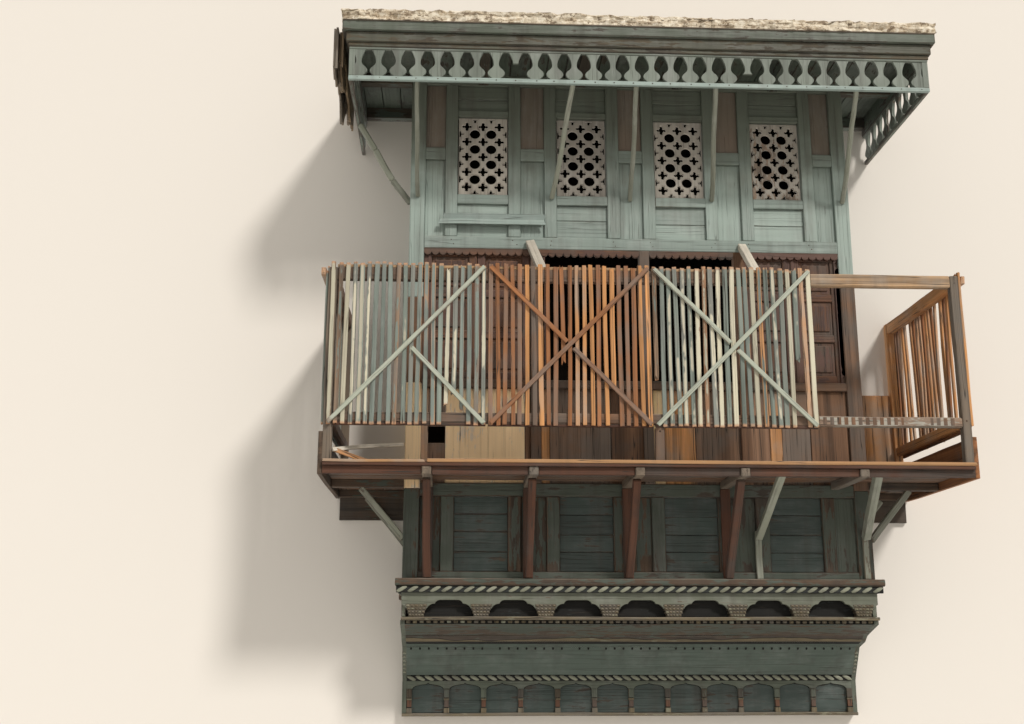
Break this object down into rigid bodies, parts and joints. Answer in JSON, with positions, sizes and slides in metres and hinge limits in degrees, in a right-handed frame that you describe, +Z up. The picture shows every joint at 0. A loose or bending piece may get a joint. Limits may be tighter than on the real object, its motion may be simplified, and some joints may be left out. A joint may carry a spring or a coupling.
{
  "type": "mashrabiya oriel",
  "caption": "Timber oriel for a house wall: panelled box with fret windows, plastered canopy with fretted valance, slatted balcony and stepped carved base.",
  "frame": {"origin": "centre of the sill beam's back face, on the house wall", "axes": "+X along the wall to the right seen from outside, +Y into the wall, +Z up; the oriel stands out towards -Y"},
  "size_m": [3.614, 1.138, 3.996],
  "materials": {
    "faded_turquoise": "flaking matt paint",
    "dark_teal": "old matt paint",
    "bare_brown": "weathered bare timber",
    "pale_slats": "chalky worn paint",
    "orange_wood": "bare sunlit timber",
    "lime_plaster": "rough lime and mud"
  },
  "bodies": {
    "root": {"canopy_plaster": "lime_plaster", "canopy_deck": "faded_turquoise", "canopy_joists": "faded_turquoise", "canopy_fascia": "faded_turquoise", "valance_front": "faded_turquoise", "valance_sides": "faded_turquoise", "canopy_struts": "bare_brown", "box_posts": "faded_turquoise", "frame_rails": "faded_turquoise", "frame_stiles": "faded_turquoise", "short_rails": "faded_turquoise", "upper_panels": "faded_turquoise", "lower_panels": "dark_teal", "window_frets": "pale_slats", "middle_posts": "bare_brown", "parapet_boards": "bare_brown", "shutters": "bare_brown", "scalloped_trim": "bare_brown", "loose_batten": "orange_wood", "box_floor": "dark_teal", "sill_beam": "bare_brown", "balcony_floor": "bare_brown", "floor_nosing": "orange_wood", "floor_rim": "bare_brown", "floor_beams": "bare_brown", "floor_brackets": "bare_brown", "bracket_laths": "bare_brown", "pale_braces": "pale_slats", "balcony_posts": "bare_brown", "balcony_rails": "orange_wood", "lattice_left": "pale_slats", "lattice_middle": "orange_wood", "lattice_right": "pale_slats", "lattice_braces": "pale_slats", "lattice_side_left": "pale_slats", "lattice_side_right": "bare_brown", "handrails": "orange_wood", "side_skirts": "bare_brown", "wall_ledgers": "dark_teal", "wall_boards": "orange_wood", "balcony_stays": "pale_slats", "rope_upper": "dark_teal", "frieze": "dark_teal", "frieze_corbels": "bare_brown", "niche_wall": "dark_teal", "base_ledge": "bare_brown", "dentil_strip": "dark_teal", "slope_board": "dark_teal", "broken_board": "dark_teal", "shadow_board": "dark_teal", "cove_board": "dark_teal", "rope_lower": "dark_teal", "arcade_back": "dark_teal", "arcade_arches": "dark_teal", "arcade_pilasters": "bare_brown", "bottom_ledge": "bare_brown", "side_boards": "dark_teal"}
  },
  "joints": []
}
